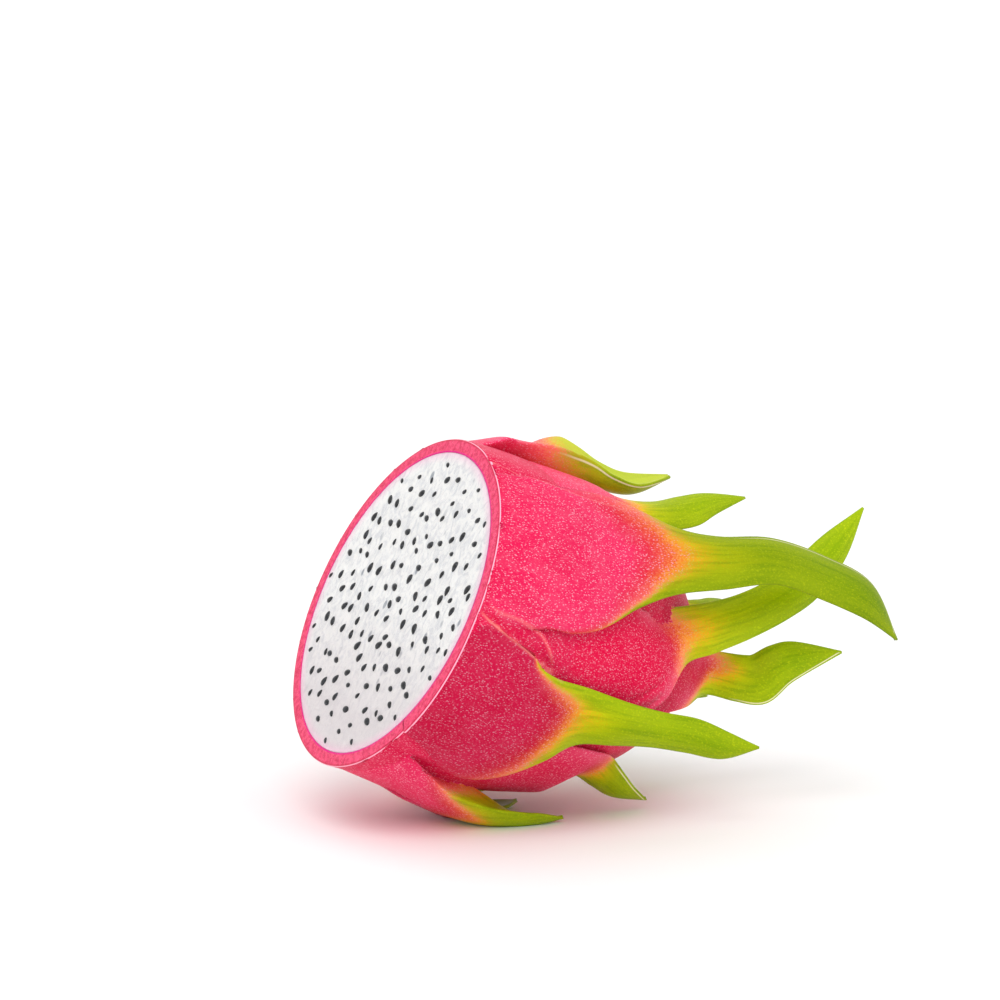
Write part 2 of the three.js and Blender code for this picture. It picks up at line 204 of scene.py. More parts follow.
# Grid of points of one scale, from root to tip and round its section, with what each point is:
# grow (0 root, 1 neck, 2 tip), across (-1 to 1), outer (1 or 0), edge (mm from the edge).
def scaleGrid(lap, blade, cup, twist=0, twistFrom=0.8, twistTo=2.25, radii=sheet["lapRadii"],
              thickness=sheet["thickness"]):
    line = []
    for along, around, height, _ in lap:
        radius = float(bodyRadius(along)) + height
        line.append([along, -radius * sin(radians(around)), radius * cos(radians(around))])
    line += [[along, -side, up] for along, side, up, _ in blade]
    widths = [station[3] for station in lap + blade]
    lapBends = [degrees(station[3] / 2 / radius) for station, radius in zip(lap, radii)]
    bends = lapBends + [(lapBends[3] + cup) / 2] + [cup] * (len(blade) - 1)
    neckShare = len(lap) / (len(line) - 1)
    ts = np.linspace(0, 1, sheet["steps"] + 1)
    places = through(line, ts)
    aheads = through(line, np.minimum(ts + sheet["aim"], 1)) - through(line, np.maximum(ts - sheet["aim"], 0))
    halfWidths = np.maximum(through(widths, ts), sheet["tipWidth"]) / 2
    bendAngles = np.radians(through(bends, ts))
    depths = through(thickness, ts)
    vs = np.sin(np.linspace(-1, 1, sheet["strips"] + 1) * pi / 2)
    rim = np.sqrt(1 - ((np.abs(vs) - sheet["flat"]) / (1 - sheet["flat"])).clip(0, 1) ** 2)
    rounded = (0.5 * sheet["edge"] * (1 - rim))[:, None]
    rows, facts = [], []
    out = None
    for i, t in enumerate(ts):
        ahead = unit(aheads[i])
        if t <= neckShare:
            out = unit(np.array([0, places[i][1], places[i][2]]))
        out = unit(out - np.dot(out, ahead) * ahead)
        gone = (t - neckShare * twistFrom) / (neckShare * (twistTo - twistFrom))
        angle = min(1, max(0, gone)) * radians(twist)
        face = turned(out, ahead, angle)
        across = turned(np.cross(ahead, out), ahead, angle)
        radius = halfWidths[i] / bendAngles[i]
        turns = vs * bendAngles[i]
        facing = np.cos(turns)[:, None] * face + np.sin(turns)[:, None] * across
        sideways, inwards = (radius * part[:, None] for part in (np.sin(turns), 1 - np.cos(turns)))
        outer = places[i] + sideways * across - inwards * face
        depth = (sheet["edge"] + (depths[i] - sheet["edge"]) * (1 - vs * vs))[:, None]
        top = outer - rounded * facing
        under = outer - (depth - rounded) * facing
        rows.append(np.concatenate([top, under[::-1]]))
        grow = t / neckShare if t < neckShare else 1 + (t - neckShare) / (1 - neckShare)
        both = np.concatenate([vs, vs[::-1]])
        isOuter = np.concatenate([np.ones(len(vs)), np.zeros(len(vs))])
        facts.append([np.full(len(both), grow), both, isOuter, halfWidths[i] * (1 - np.abs(both))])
    grid = np.array(rows)
    points = fromFruit(grid[..., 0], -grid[..., 1], grid[..., 2])
    return points, *np.array(facts).transpose(1, 0, 2)


# Points and faces of a closed skin through a grid of closed rings, with a hub at each end.
def closedSkin(grid):
    count, around = grid.shape[:2]
    index = np.arange(count * around).reshape(count, around)
    right = np.roll(index, -1, axis=1)
    quads = np.stack([index[:-1], right[:-1], right[1:], index[1:]], axis=-1).reshape(-1, 4).tolist()
    hubs = [grid[0].mean(axis=0), grid[-1].mean(axis=0)]
    points = np.concatenate([grid.reshape(-1, 3), hubs])
    first, last = count * around, count * around + 1
    caps = [[first, b, a] for a, b in zip(index[0], right[0])]
    caps += [[last, a, b] for a, b in zip(index[-1], right[-1])]
    return points, quads + [[int(v) for v in cap] for cap in caps]


def makeObject(name, points, faces):
    mesh = bpy.data.meshes.new(name)
    mesh.from_pydata((np.asarray(points) * mm).tolist(), [], faces)
    mesh.validate()
    made = bpy.data.objects.new(name, mesh)
    bpy.context.scene.collection.objects.link(made)
    return made


# The body as a closed skin, inset from its outside.
def bodySkin(inset, sides, rings):
    flowerEnd = body["flowerEnd"] - inset
    turns = np.linspace(0, pi / 2, rings + 1)[:-1]
    alongs = body["stemEnd"] + (flowerEnd - body["stemEnd"]) * np.sin(turns)
    stretch = (body["flowerEnd"] - body["equatorAlong"]) / (flowerEnd - body["equatorAlong"])
    past = alongs - body["equatorAlong"]
    radii = bodyRadius(body["equatorAlong"] + np.where(past > 0, past * stretch, past))
    radii = radii * (body["equator"] - inset) / body["equator"]
    arounds = np.linspace(0, 2 * pi, sides, endpoint=False)
    alongGrid = np.repeat(alongs[:, None], sides, axis=1)
    grid = fromFruit(alongGrid, radii[:, None] * np.sin(arounds), radii[:, None] * np.cos(arounds))
    return grid


# A block with its top face through a point and facing along normal, filling what is behind.
def blockBehind(name, point, normal, size=300):
    normal = unit(np.asarray(normal, dtype=float))
    aslant = [0.3, 0.9, 0.2]
    side = unit(np.cross(normal, aslant))
    other = np.cross(normal, side)
    corners = []
    for depth in (0, -size):
        for a, b in ((-1, -1), (1, -1), (1, 1), (-1, 1)):
            corners.append(point + depth * normal + a * size * side + b * size * other)
    faces = [[0, 1, 2, 3], [7, 6, 5, 4], [0, 4, 5, 1], [1, 5, 6, 2], [2, 6, 7, 3], [3, 7, 4, 0]]
    return makeObject(name, corners, faces)


# What the knife took away.
def cutBlock():
    return blockBehind("cut", cutMiddle, -cutNormal)


# Joins or cuts the object with others, and removes them.
def combine(target, others, operation):
    for other in others:
        step = target.modifiers.new("combine", "BOOLEAN")
        step.operation = operation
        step.solver = "MANIFOLD"
        step.object = other
    depsgraph = bpy.context.evaluated_depsgraph_get()
    made = bpy.data.meshes.new_from_object(target.evaluated_get(depsgraph))
    target.modifiers.clear()
    target.data = made
    for other in others:
        bpy.data.objects.remove(other)


# How finely each skin is divided: around and along.
fineness = dict(outside=(220, 120), hollow=(120, 50), flesh=(160, 60))


def makePeel():
    points, faces = closedSkin(bodySkin(0, *fineness["outside"]))
    onBody = dict(grow=0, across=0, outer=1, edge=20)
    sources = [(points, faces, *(np.full(len(points), value) for value in onBody.values()))]
    scales = list(shapedScales.values()) + [farScale(*scale) for scale in farScales.values()]
    for scale in scales:
        grid, *facts = scaleGrid(**scale)
        facts = [np.concatenate([fact.reshape(-1), [fact[0].mean(), fact[-1].mean()]]) for fact in facts]
        sources.append((*closedSkin(grid), *facts))
    peel = makeObject("peelFine", points, faces)
    combine(peel, [makeObject("scale", *source[:2]) for source in sources[1:]], "UNION")
    print("peel joined", len(peel.data.polygons))
    hollow = makeObject("hollow", *closedSkin(bodySkin(body["peel"], *fineness["hollow"])))
    ground = blockBehind("ground", np.zeros(3), (0, 0, 1))
    combine(peel, [cutBlock(), ground, hollow], "DIFFERENCE")
    finishCut(peel)
    markPeel(peel, sources)
    foldSkin(peel)
    for polygon in peel.data.polygons:
        polygon.use_smooth = True
    return peel


# The angle round the cut's middle, and the distance from it, of a vertex.
def polar(vert):
    middle, side, rise = (Vector(v) for v in (cutMiddle * mm, faceSide, faceRise))
    offset = vert.co - middle
    return atan2(offset.dot(rise), offset.dot(side)), offset.length


# Angles round the cut's middle, in order, and how far out the vertices of a loop are there.
def polarLoop(loop):
    return np.array(sorted(polar(vert) for vert in loop)).T


# Takes away the flat faces that the knife's block left on the cut.
def openCut(made):
    level, near = 0.999, 0.01 * mm
    normal, middle = Vector(cutNormal), Vector(cutMiddle * mm)
    flat = [face for face in made.faces if face.normal.dot(normal) > level
            and abs((face.calc_center_median() - middle).dot(normal)) < near]
    bmesh.ops.delete(made, geom=flat, context="FACES")


# Makes the cut ring anew: a narrow edge at the skin, rounded over by round and shallow in mm,
# then rows of faces at shares of the way to the flesh.
def finishCut(peel):
    ring = dict(rows=[0.03, 0.09, 0.24, 0.43, 0.65, 0.81, 0.92], round=0.35, shallow=0.1)
    made = bmesh.new()
    made.from_mesh(peel.data)
    normal = Vector(cutNormal)
    middle = Vector(cutMiddle * mm)
    share = made.verts.layers.float.new("ring")
    openCut(made)
    loops = edgeLoops([edge for edge in made.edges if len(edge.link_faces) == 1])
    loops.sort(key=lambda loop: -sum((v.co - middle).length for v in loop) / len(loop))
    outer, inner = loops[:2]
    print("cut loops", len(outer), len(inner))
    angles, reaches = polarLoop(inner)
    last = outer
    for number, depth in enumerate(ring["rows"]):
        row = []
        back = ring["shallow"] if number == 0 else 0
        for vert in outer:
            offset = vert.co - middle
            reach = float(np.interp(polar(vert)[0], angles, reaches, period=2 * pi))
            inward = offset.normalized() * (reach - offset.length) * depth
            row.append(made.verts.new(vert.co + inward - normal * back * mm))
            row[-1][share] = depth
        for i in range(len(row)):
            made.faces.new([last[i - 1], last[i], row[i], row[i - 1]]).material_index = 1
        last = row
    for vert in outer:
        vert.co -= normal * ring["round"] * mm
    for face in zipLoops(made, last, inner):
        face.material_index = 1
    for vert in inner:
        vert[share] = 1
    bmesh.ops.recalc_face_normals(made, faces=made.faces)
    made.to_mesh(peel.data)
    made.free()


# Fills the gap between two loops round the cut's middle with triangles.
def zipLoops(made, first, second):
    loops = []
    for loop in (first, second):
        order = sorted((polar(vert)[0], k) for k, vert in enumerate(loop))
        turns = [turn for turn, _ in order] + [order[0][0] + 2 * pi]
        verts = [loop[k] for _, k in order] + [loop[order[0][1]]]
        loops.append((turns, verts))
    (turnsA, vertsA), (turnsB, vertsB) = loops
    faces, i, j = [], 0, 0
    while i < len(vertsA) - 1 or j < len(vertsB) - 1:
        if j == len(vertsB) - 1 or (i < len(vertsA) - 1 and turnsA[i + 1] <= turnsB[j + 1]):
            faces.append(made.faces.new([vertsA[i], vertsA[i + 1], vertsB[j]]))
            i += 1
        else:
            faces.append(made.faces.new([vertsA[i], vertsB[j + 1], vertsB[j]]))
            j += 1
    return faces


# Orders the vertices of separate closed edge loops.
def edgeLoops(edges):
    beside = {}
    for edge in edges:
        a, b = edge.verts
        beside.setdefault(a, []).append(b)
        beside.setdefault(b, []).append(a)
    loops = []
    while beside:
        first = next(iter(beside))
        loop, here, before = [first], first, None
        while True:
            ahead = [v for v in beside[here] if v is not before]
            before, here = here, ahead[0]
            if here is first:
                break
            loop.append(here)
        for vert in loop:
            del beside[vert]
        loops.append(loop)
    return loops


# Where pink turns to green on each scale: reach is how far up the scale pink goes, middle where
# across the width it goes furthest, and left and right how much sooner it ends at the edges.
turning = dict(
    upperFront=dict(reach=1.02, middle=0.15, left=0.2, right=0.22, margin=0.25),
    lowerFront=dict(reach=0.91, middle=-0.25, left=0.12, right=0.3, margin=-0.3),
    underFront=dict(reach=0.97, middle=-0.2, left=0.28, right=0.2),
    crest=dict(reach=1.12, middle=0, left=0.12, right=0.12, slope=0.55),
    belly=dict(reach=1.25, middle=0, left=0.1, right=0.1),
    topSecond=dict(reach=1.04, middle=-0.2, left=0.05, right=0.1),
    middleFront=dict(reach=1.05, middle=0, left=0.1, right=0.12),
    underSecond=dict(reach=1.06, middle=-0.2, left=0.06, right=0.1),
    tipFront=dict(reach=1.09, middle=-0.3, left=0.08, right=0.4),
)
usualTurning = dict(reach=0.98, middle=0, left=0.18, right=0.18)
# The two edges turn by this power of the way out. A green margin is marginWidth mm wide.
turnForm = dict(power=1.5, marginWidth=1.4)
# How deep each scale's pink is, from 0 light to 1 deep crimson: partly each scale's own tone,
# partly painted shade on the lower scales that face down.
pinkDepthAndShade = dict(upperFront=0.08, lowerFront=0.62, underFront=0.1, crest=0.1, topSecond=0.05,
                   middleFront=0.95, underSecond=0.55, tipFront=0.75, tipTop=1.0)
usualDepth, bodyDepth = 0.4, 0.5
# Painted light and shade: how light each scale's pink and green are painted, as shares of the usual,
# for how the light falls on that scale, and where ripe passes over.
shadingOfScales = dict(upperFront=(0.95, 0.82), lowerFront=(0.78, 1.05), underFront=(1.0, 1.05), crest=(1.0, 1.0),
                 topSecond=(1.05, 1.05), middleFront=(1.12, 1.2), underSecond=(1.0, 1.05),
                 tipFront=(1.0, 1.2), belly=(0.8, 0.8))
shadingTurn = 0.15
# A thin cream line runs inside one edge of some blades: the side, the grow that it starts from,
# and how far in from the edge it runs, in mm. It fades in over creamStart of grow.
creamLines = dict(upperFront=(-1, 1.25, 1.5), tipFront=(1, 1.15, 0.75), crest=(1, 1.0, 0.6),
                  underSecond=(-1, 1.1, 0.75), farUpper=(1, 1.2, 0.75), farSecondHigh=(-1, 1.3, 0.75),
                  tipFar=(1, 1.2, 0.75), farSecondLow=(1, 1.3, 0.75))
creamStart, noCream = 0.15, 9.0


# For each point of the peel the scale or body that it came from, and grow, across, outer and
# edge there, weighed from the corners of the nearest face.
def nearestFacts(peel, sources):
    allPoints, allFaces, owners, facts = [], [], [], []
    base = 0
    for number, (points, faces, *values) in enumerate(sources):
        allPoints.append(points * mm)
        allFaces += [[v + base for v in face] for face in faces]
        owners += [number] * len(faces)
        facts.append(np.stack(values, axis=1))
        base += len(points)
    allPoints = np.concatenate(allPoints)
    facts = np.concatenate(facts)
    tree = BVHTree.FromPolygons(allPoints.tolist(), allFaces)
    count = len(peel.data.vertices)
    places = np.empty(count * 3)
    peel.data.vertices.foreach_get("co", places)
    found = np.zeros((count, facts.shape[1]))
    owner = np.zeros(count, dtype=int)
    touching = 1e-7
    for i, place in enumerate(places.reshape(-1, 3)):
        _, _, face, _ = tree.find_nearest(place)
        corners = allFaces[face]
        gaps = np.linalg.norm(allPoints[corners] - place, axis=1) + touching
        found[i] = (facts[corners] / gaps[:, None]).sum(axis=0) / (1 / gaps).sum()
        owner[i] = owners[face]
    return owner, *found.T


# Marks the peel for its material: grow is the share of the way up a scale, ripe how far past the
# turn to green, edge the mm to the scale's edge, deep how crimson, partly as painted shade, light how
# bright the scale is painted for the light and shade on it, lined and inward where the cream line
# runs, and paler where the crest's outside is a light green.
def markPeel(peel, sources):
    owner, grow, across, outer, edge = nearestFacts(peel, sources)
    count = len(owner)
    marks = dict(owner=owner, grow=grow, across=across, edge=edge, ripe=np.full(count, -1.0),
                 deep=np.full(count, bodyDepth), light=np.ones(count), lined=np.zeros(count),
                 inward=np.full(count, noCream), paler=np.zeros(count))
    for number, name in enumerate(list(shapedScales) + list(farScales), start=1):
        turn = turning.get(name, usualTurning)
        here = owner == number
        off = across[here] - turn["middle"]
        left = turn["left"] * (np.abs(off) / (1 + turn["middle"])) ** turnForm["power"]
        right = turn["right"] * (np.abs(off) / (1 - turn["middle"])) ** turnForm["power"]
        sooner = np.where(off < 0, left, right)
        margin = turn.get("margin", 0)
        nearEdge = abs(margin) * np.exp(-edge[here] / turnForm["marginWidth"])
        sooner += np.where(across[here] * margin > 0, nearEdge, 0)
        ripe = (grow[here] - turn["reach"] + sooner) * turn.get("slope", 1)
        # Painted light and shade: each scale's pink and green are made lighter or darker for how the light
        # falls on it.
        pinkShading, greenShading = shadingOfScales.get(name, (1, 1))
        passed = np.clip((ripe + shadingTurn) / (2 * shadingTurn), 0, 1)
        marks["ripe"][here] = ripe
        marks["light"][here] = pinkShading + (greenShading - pinkShading) * passed
        # The deep mark is partly each scale's own tone, partly painted shade on scales that face down.
        marks["deep"][here] = pinkDepthAndShade.get(name, usualDepth)
        if name == "crest":
            marks["paler"][here] = outer[here]
        if name in creamLines:
            side, start, within = creamLines[name]
            marks["inward"][here] = edge[here] - within
            begun = np.clip((grow[here] - start) / creamStart, 0, 1)
            marks["lined"][here] = np.where(across[here] * side > 0, begun, 0)
    for name, values in marks.items():
        layer = peel.data.attributes.new(name, "FLOAT", "POINT")
        layer.data.foreach_set("value", values.astype(np.float32))


# Folds of the skin. Each line is of [along, around, height over the body]. Right and left say
# how far the skin on that side of it, seen from outside along it, rises, and the width over which
# that fades, in mm. foldHighlight is how far the line itself pales, a painted highlight on the fold.
folds = dict(
    upperLip=dict(line=[[4, 21, 0], [8.1, 23.9, 0], [12.8, 27, 0], [17.7, 30.4, 0.6], [24.4, 32.4, 1.6],
                        [29.8, 33.6, 2.7], [35.2, 34, 3.4], [40.2, 34.3, 4.6], [44.9, 35.3, 6.2]],
                  right=(0.5, 2.6), left=(-0.9, 3.2), foldHighlight=0.75),
    lowerRidge=dict(line=[[1, 83.4, 0.4], [4.6, 86.2, 1], [6.9, 87.6, 1], [11.1, 90, 1.2], [16.7, 93, 1.6],
                          [22, 96.5, 2.2], [28, 99.5, 2.8]],
                    right=(0.6, 2.6), left=(-1.1, 1.8), foldHighlight=0.9),
    heelFold=dict(line=[[3, 81, 0.4], [7, 83, 0.4], [11.4, 83.6, 0.6], [16.6, 85, 0.6], [20, 87.4, 0.4],
                        [22.4, 90.5, 0.2], [24.5, 94.1, 0], [25.9, 96.8, 0]],
                  right=(0.9, 1.3), left=(0.9, 1.8), foldHighlight=0.35),
    heelHollow=dict(line=[[15, 82.5, 1], [20, 84.4, 0.6], [24, 88, 0.2], [27, 92, 0]],
                    right=(-0.6, 1.4), left=(-0.6, 1.6), foldHighlight=0),
    lowerCrease=dict(line=[[-9, 138, 0], [-3.9, 140.6, 0], [3.8, 144.4, 0.5], [12, 149, 1]],
                     right=(-0.9, 1.6), left=(-0.9, 2.2), foldHighlight=0),
    middleWrinkle=dict(line=[[54, 107, 4.6], [59, 104, 4.9], [63.9, 97.1, 5.2]],
                       right=(-0.5, 0.8), left=(-0.5, 0.8), foldHighlight=0),
    middleCrease=dict(line=[[50, 105, 4.6], [55, 101.5, 4.8], [60, 96, 4.9], [63, 90, 4.6]],
                      right=(-0.35, 0.7), left=(-0.35, 0.8), foldHighlight=0),
)


# How the folds are made, in mm: they reach this far from the line, fade over ends, pass from one
# side to the other over blend, and are cut into edges of fine as far as near.
foldForm = dict(reach=6.0, ends=4.0, blend=0.25, past=1.5, near=2.2, fine=0.5, passes=2, facing=0.2,
                foldHighlightAside=0.15, foldHighlightWidth=0.4)

# Here the lower edge of the large upper scale runs out into the skin without a step.
softened = dict(line=[[2, 84, 0.5], [4, 85, 0.7], [8, 86.3, 0.8], [12, 86.8, 0.9], [17, 87, 1],
                      [22, 86.6, 1.2]],
                reach=3.2, passes=14, share=0.5, clearOfCut=1.5)


def foldSkin(peel):
    form = foldForm
    made = bmesh.new()
    made.from_mesh(peel.data)
    away = nearLine(made, skinLine(softened["line"]))[0]
    soft = [vert for vert in made.verts if away[vert.index] < softened["reach"]
            and (vert.co / mm - Vector(cutMiddle)).dot(Vector(cutNormal)) < -softened["clearOfCut"]]
    for _ in range(softened["passes"]):
        bmesh.ops.smooth_vert(made, verts=soft, factor=softened["share"],
                              use_axis_x=True, use_axis_y=True, use_axis_z=True)
    for fold in folds.values():
        line = skinLine(fold["line"])
        middle = line.mean(axis=0) - cutMiddle
        outward = unit(middle - np.dot(middle, alongAxis) * alongAxis)
        for _ in range(form["passes"]):
            away = nearLine(made, line)[0]
            close = [edge for edge in made.edges if edge.calc_length() > form["fine"] * mm
                     and min(away[vert.index] for vert in edge.verts) < form["near"]]
            bmesh.ops.subdivide_edges(made, edges=close, cuts=1, use_grid_fill=True)
            made.verts.index_update()
        made.normal_update()
        away, right, onward = nearLine(made, line)
        foldHighlight = made.verts.layers.float.get("foldHighlight") or made.verts.layers.float.new("foldHighlight")
        total = np.linalg.norm(np.diff(line, axis=0), axis=1).sum()
        moves = []
        for vert in made.verts:
            i = vert.index
            if away[i] > form["reach"] or vert.normal.dot(Vector(outward)) < form["facing"]:
                continue
            share = min(1, onward[i] / form["ends"]) * min(1, (total - onward[i]) / form["ends"])
            if share <= 0:
                continue
            tilt = 0.5 + 0.5 * np.tanh(right[i] / form["blend"])
            (rightUp, rightWidth), (leftUp, leftWidth) = fold["right"], fold["left"]
            up = tilt * rightUp * hill(right[i], rightWidth) + (1 - tilt) * leftUp * hill(right[i], leftWidth)
            moves.append((vert, share * up * hill(max(0, away[i] - abs(right[i])), form["past"])))
            # Painted highlight: the fold's line is painted paler along its raised edge.
            pale = fold["foldHighlight"] * share * hill(right[i] - form["foldHighlightAside"], form["foldHighlightWidth"])
            vert[foldHighlight] = max(vert[foldHighlight], pale)
        for vert, up in moves:
            vert.co += vert.normal * up * mm
    made.to_mesh(peel.data)
    made.free()


# A bell of height 1 at 0, fading over a width.
def hill(off, width):
    return np.exp(-(off / width) ** 2)


def skinLine(places):
    along, around, height = np.array(places, dtype=float).T
    radius = bodyRadius(along) + height
    return fromFruit(along, radius * np.sin(np.radians(around)), radius * np.cos(np.radians(around)))


# For every vertex, in mm: how far it is from the line, how far to the right, and how far onward.
def nearLine(made, line):
    places = np.array([vert.co for vert in made.verts]) / mm
    axis = line - cutMiddle
    centres = cutMiddle + (axis @ alongAxis)[:, None] * alongAxis
    best = np.full(len(places), np.inf)
    right, onward = np.zeros(len(places)), np.zeros(len(places))
    gone = 0.0
    for start, end, centre in zip(line[:-1], line[1:], centres[:-1]):
        length = np.linalg.norm(end - start)
        ahead = (end - start) / length
        aside = unit(np.cross(ahead, start - centre))
        offset = places - start
        t = np.clip(offset @ ahead, 0, length)
        gap = np.linalg.norm(offset - t[:, None] * ahead, axis=1)
        nearer = gap < best
        best[nearer] = gap[nearer]
        right[nearer] = (offset @ aside)[nearer]
        onward[nearer] = gone + (offset @ ahead)[nearer]
        gone += length
    return best, right, onward


# Seeds stand in a spiral over the cut, each pushed up to half of astray off its place in mm and
# turned by up to half of turned in radians. They are smaller by the rim, over nearRim mm.
seedRule = dict(count=150, spread=38.4, spiral=137.508, astray=3.2, turned=2, sideDraw=500, riseDraw=900,
                sunk=0.15, least=0.85, larger=0.5, nearRim=3, stir=7.3)
seedForm = dict(length=2.3, width=1.5, rings=9, sides=14, pointed=0.28, flat=0.75)
# lowest and lowMost shape the painted shade at the bottom of the cut face: over how many mm it grows, and its
# most.
fleshBody = dict(inset=3.76, columns=240, rows=72, lastRow=0.96, rimRows=[0.975, 0.99, 1.0],
                 rounding=0.3, roundDepth=0.06, blush=3.5, lowest=42, lowMost=0.75)


# A repeatable number from 0 to 1.
def draw(seed):
    step, start, stretch = 127.1, 311.7, 43758.5453
    value = sin(seed * step + start) * stretch
    return value - np.floor(value)


def seedPlaces():
    rule = seedRule
    places = []
    for i in range(rule["count"]):
        radius = rule["spread"] * sqrt((i + 0.5) / rule["count"])
        turn = radians(i * rule["spiral"])
        side = radius * cos(turn) + (draw(i + rule["sideDraw"]) - 0.5) * rule["astray"]
        rise = radius * sin(turn) + (draw(i + rule["riseDraw"]) - 0.5) * rule["astray"]
        places.append((side, rise, turn + (draw(i) - 0.5) * rule["turned"]))
    return places


# The flesh: a fine disc for the cut face, and the lathe-turned outside that the peel hides.
def makeFlesh():
    skin = makeObject("fleshFine", *closedSkin(bodySkin(fleshBody["inset"], *fineness["flesh"])))
    combine(skin, [cutBlock()], "DIFFERENCE")
    made = bmesh.new()
    made.from_mesh(skin.data)
    rim = made.verts.layers.float.new("rim")
    low = made.verts.layers.float.new("low")
    normal = Vector(cutNormal)
    middle = Vector(cutMiddle * mm)
    openCut(made)
    hidden = edgeLoops([edge for edge in made.edges if len(edge.link_faces) == 1])[0]
    angles, reaches = polarLoop(hidden)
    turns = np.linspace(-pi, pi, fleshBody["columns"], endpoint=False)
    reach = np.interp(turns, angles, reaches / mm, period=2 * pi)
    shares = [*np.linspace(0, fleshBody["lastRow"], fleshBody["rows"])[1:], *fleshBody["rimRows"]]
    hub = made.verts.new(middle)
    last = None
    for share in shares:
        row = []
        for turn, far in zip(turns, reach):
            radius = far * share
            margin = max(0.0, fleshBody["rounding"] - (far - radius)) / fleshBody["rounding"]
            point = cutMiddle + radius * cos(turn) * faceSide + radius * sin(turn) * faceRise
            point = point - fleshBody["roundDepth"] * margin ** 2 * cutNormal
            row.append(made.verts.new(Vector(point * mm)))
            row[-1][rim] = max(0.0, 1 - (far - radius) / fleshBody["blush"]) ** 2
            # Painted shade: the cut face is marked to turn greyer towards its bottom.
            row[-1][low] = min(fleshBody["lowMost"], max(0.0, -radius * sin(turn) / fleshBody["lowest"]))
        for i in range(len(row)):
            before = [last[i - 1], last[i]] if last else [hub]
            made.faces.new(before + ([row[i], row[i - 1]] if last else [row[i - 1], row[i]]))
        last = row
    zipLoops(made, last, hidden)
    bmesh.ops.recalc_face_normals(made, faces=made.faces)
    made.to_mesh(skin.data)
    made.free()
    for polygon in skin.data.polygons:
        polygon.use_smooth = True
    return skin


# Teardrop seeds, sunk a little in the flesh.
def makeSeeds():
    form = seedForm
    shares = np.linspace(0, 1, form["rings"] + 1)[1:-1]
    arounds = np.linspace(0, 2 * pi, form["sides"], endpoint=False)
    points, faces = [], []
    for side, rise, turn in seedPlaces():
        centre = cutMiddle + side * faceSide + rise * faceRise - seedRule["sunk"] * cutNormal
        long = sin(turn) * faceSide + cos(turn) * faceRise
        broad = np.cross(cutNormal, long)
        room = min(1.0, max(0.0, (seedRule["spread"] - hypot(side, rise)) / seedRule["nearRim"]))
        size = seedRule["least"] + seedRule["larger"] * draw(side * seedRule["stir"] + rise) * room
        rings = []
        for s in shares:
            girth = sin(s * pi) * (1 - form["pointed"] * (2 * s - 1)) * form["width"] / 2 * size
            across = np.cos(arounds)[:, None] * broad + form["flat"] * np.sin(arounds)[:, None] * cutNormal
            rings.append(centre - cos(s * pi) * form["length"] / 2 * size * long + girth * across)
        skin, sides = closedSkin(np.array(rings))
        ends = form["length"] / 2 * size * long
        skin[-2:] = [centre - ends, centre + ends]
        faces += [[v + len(points) for v in face] for face in sides]
        points += skin.tolist()
    seeds = makeObject("seeds", points, faces)
    for polygon in seeds.data.polygons:
        polygon.use_smooth = True
    return seeds


# A colour given as it looks on screen, 0 to 255.
def screen(red, green, blue):
    shares = [value / 255 for value in (red, green, blue)]
    return tuple(s / 12.92 if s <= 0.04045 else ((s + 0.055) / 1.055) ** 2.4 for s in shares) + (1.0,)


def newMaterial(name):
    material = bpy.data.materials.new(name)
    material.use_nodes = True
    return material, material.node_tree, material.node_tree.nodes["Principled BSDF"]


# Joins a node's output to an input, or sets the input to a value.
def feed(tree, socket, value):
    if isinstance(value, bpy.types.NodeSocket):
        tree.links.new(value, socket)
    else:
        socket.default_value = value


def add(tree, kind, inputs, **settings):
    node = tree.nodes.new(kind)
    for name, value in settings.items():
        setattr(node, name, value)
    for key, value in inputs.items():
        feed(tree, node.inputs[key], value)
    return node


def calc(tree, operation, *values, clamp=False):
    inputs = dict(enumerate(values))
    return add(tree, "ShaderNodeMath", inputs, operation=operation, use_clamp=clamp).outputs[0]


def times(tree, first, *others):
    for other in others:
        first = calc(tree, "MULTIPLY", first, other)
    return first


def plus(tree, first, *others):
    for other in others:
        first = calc(tree, "ADD", first, other)
    return first


def less(tree, first, second):
    return calc(tree, "SUBTRACT", first, second)


# Slides from 0 to 1 as value goes from low to high.
def slide(tree, value, low, high):
    inputs = {"Value": value, "From Min": low, "From Max": high}
    return add(tree, "ShaderNodeMapRange", inputs, interpolation_type="SMOOTHSTEP").outputs["Result"]


# Slides from 1 to 0 as value goes from low to high.
def fall(tree, value, low, high):
    return less(tree, 1.0, slide(tree, value, low, high))


def blend(tree, share, first, second):
    inputs = {0: share, 6: first, 7: second}
    return add(tree, "ShaderNodeMix", inputs, data_type="RGBA").outputs[2]


# Lays a colour, given as it looks on screen, over another.
def tint(tree, share, colour, over):
    return blend(tree, share, colour, screen(*over))


def ramp(tree, share, stops):
    node = add(tree, "ShaderNodeValToRGB", {"Fac": share})
    elements = node.color_ramp.elements
    while len(elements) < len(stops):
        elements.new(0.5)
    for element, (place, colour) in zip(elements, stops):
        element.position = place
        element.color = colour
    return node.outputs["Color"]


# A value that the mesh holds for each of its points.
def named(tree, name):
    return add(tree, "ShaderNodeAttribute", {}, attribute_name=name).outputs["Fac"]


# Millimetre coordinates, with X along the fruit, stretched as asked.
def growing(tree, stretch):
    place = add(tree, "ShaderNodeTexCoord", {}).outputs["Object"]
    inputs = {"Vector": place, "Angle": -lie["dip"]}
    turned = add(tree, "ShaderNodeVectorRotate", inputs, rotation_type="Y_AXIS").outputs[0]
    scale = [1 / (value * mm) for value in stretch]
    return add(tree, "ShaderNodeVectorMath", {0: turned, 1: scale}, operation="MULTIPLY").outputs[0]


